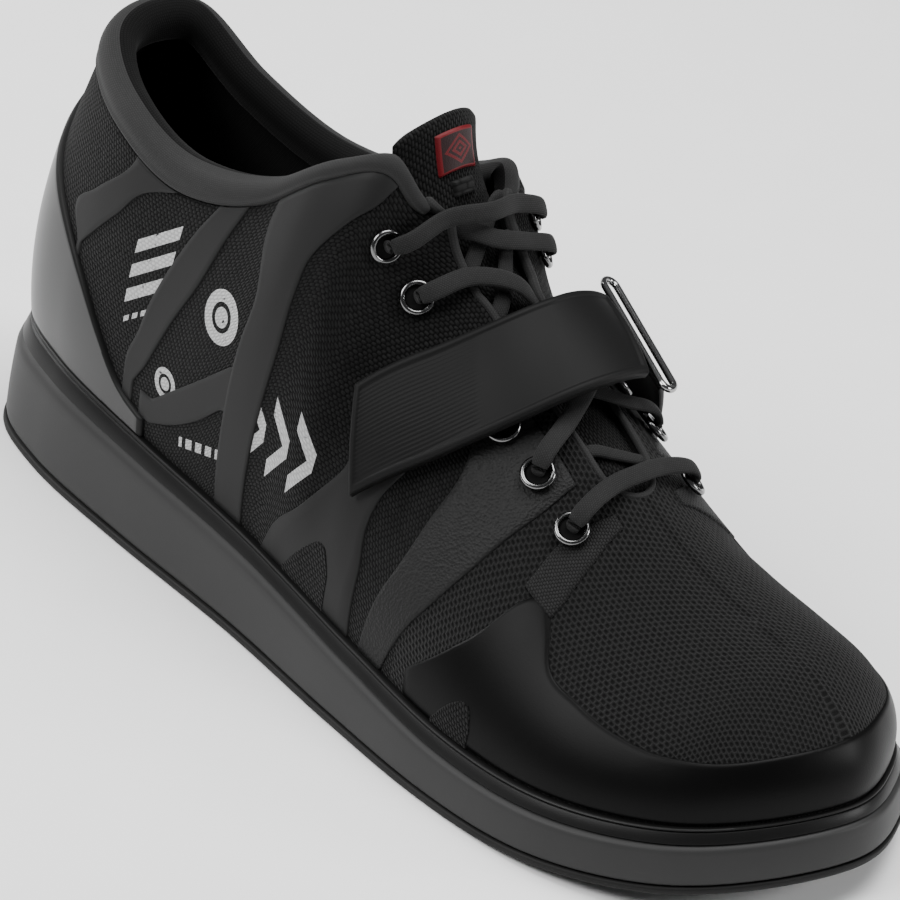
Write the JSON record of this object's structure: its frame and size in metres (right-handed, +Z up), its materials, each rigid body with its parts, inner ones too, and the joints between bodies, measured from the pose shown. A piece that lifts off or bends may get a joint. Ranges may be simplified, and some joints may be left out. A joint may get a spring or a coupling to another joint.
{
  "type": "weightlifting shoe",
  "caption": "Right training shoe for lifting: stiff raised heel, flat sole, hollow mesh upper with moulded heel counter, laces and an instep strap.",
  "frame": {"origin": "On the floor under the middle of the shoe's length, on its centre line", "axes": "+X to the toe, +Y to the inner side of the foot, +Z up"},
  "size_m": [0.297, 0.1117, 0.1383],
  "materials": {
    "outsole_rubber": "satin black rubber",
    "midsole_moulding": "satin grey moulding",
    "welt_rubber": "dark grey band",
    "insole_fabric": "dark sock lining",
    "upper_mesh": "black woven mesh",
    "cuff_fabric": "smooth padded knit",
    "heel_counter_moulding": "glossy moulded shell",
    "toe_rand_skin": "glossy coated overlay",
    "side_band_skin": "smooth coated overlay",
    "tongue_knit": "ribbed knit",
    "tongue_label_patch": "red woven patch",
    "keeper_tape": "woven tape",
    "lace_cord": "flat woven lace",
    "eyelet_metal": "polished ring",
    "strap_web": "moulded strap with a raised rim",
    "strap_loop_metal": "polished wire"
  },
  "bodies": {
    "root": {"ankle_band_lateral": "side_band_skin", "ankle_band_medial": "side_band_skin", "cuff": "cuff_fabric", "eyelet_1_lateral": "eyelet_metal", "eyelet_1_medial": "eyelet_metal", "eyelet_2_lateral": "eyelet_metal", "eyelet_2_medial": "eyelet_metal", "eyelet_3_lateral": "eyelet_metal", "eyelet_3_medial": "eyelet_metal", "eyelet_4_lateral": "eyelet_metal", "eyelet_4_medial": "eyelet_metal", "eyelet_5_lateral": "eyelet_metal", "eyelet_5_medial": "eyelet_metal", "eyelet_6_lateral": "eyelet_metal", "eyelet_6_medial": "eyelet_metal", "forefoot_band_lateral": "side_band_skin", "forefoot_band_medial": "side_band_skin", "heel_band_lateral": "side_band_skin", "heel_band_medial": "side_band_skin", "heel_counter": "heel_counter_moulding", "insole": "insole_fabric", "lace_bottom_bar": "lace_cord", "lace_keeper": "keeper_tape", "lace_lower_lateral": "lace_cord", "lace_lower_medial": "lace_cord", "lace_top_bar": "lace_cord", "lace_under_lower": "lace_cord", "lace_under_second": "lace_cord", "lace_under_top": "lace_cord", "lace_upper_lateral": "lace_cord", "lace_upper_medial": "lace_cord", "midsole": "midsole_moulding", "outsole": "outsole_rubber", "rand_arm_lateral": "toe_rand_skin", "rand_arm_medial": "toe_rand_skin", "saddle_arm_lateral": "side_band_skin", "saddle_lateral": "side_band_skin", "saddle_medial": "side_band_skin", "strap": "strap_web", "strap_anchor": "strap_web", "strap_base_lateral": "side_band_skin", "strap_base_medial": "side_band_skin", "strap_loop": "strap_loop_metal", "toe_rand": "toe_rand_skin", "tongue": "tongue_knit", "tongue_label": "tongue_label_patch", "upper": "upper_mesh", "welt": "welt_rubber"}
  },
  "joints": []
}
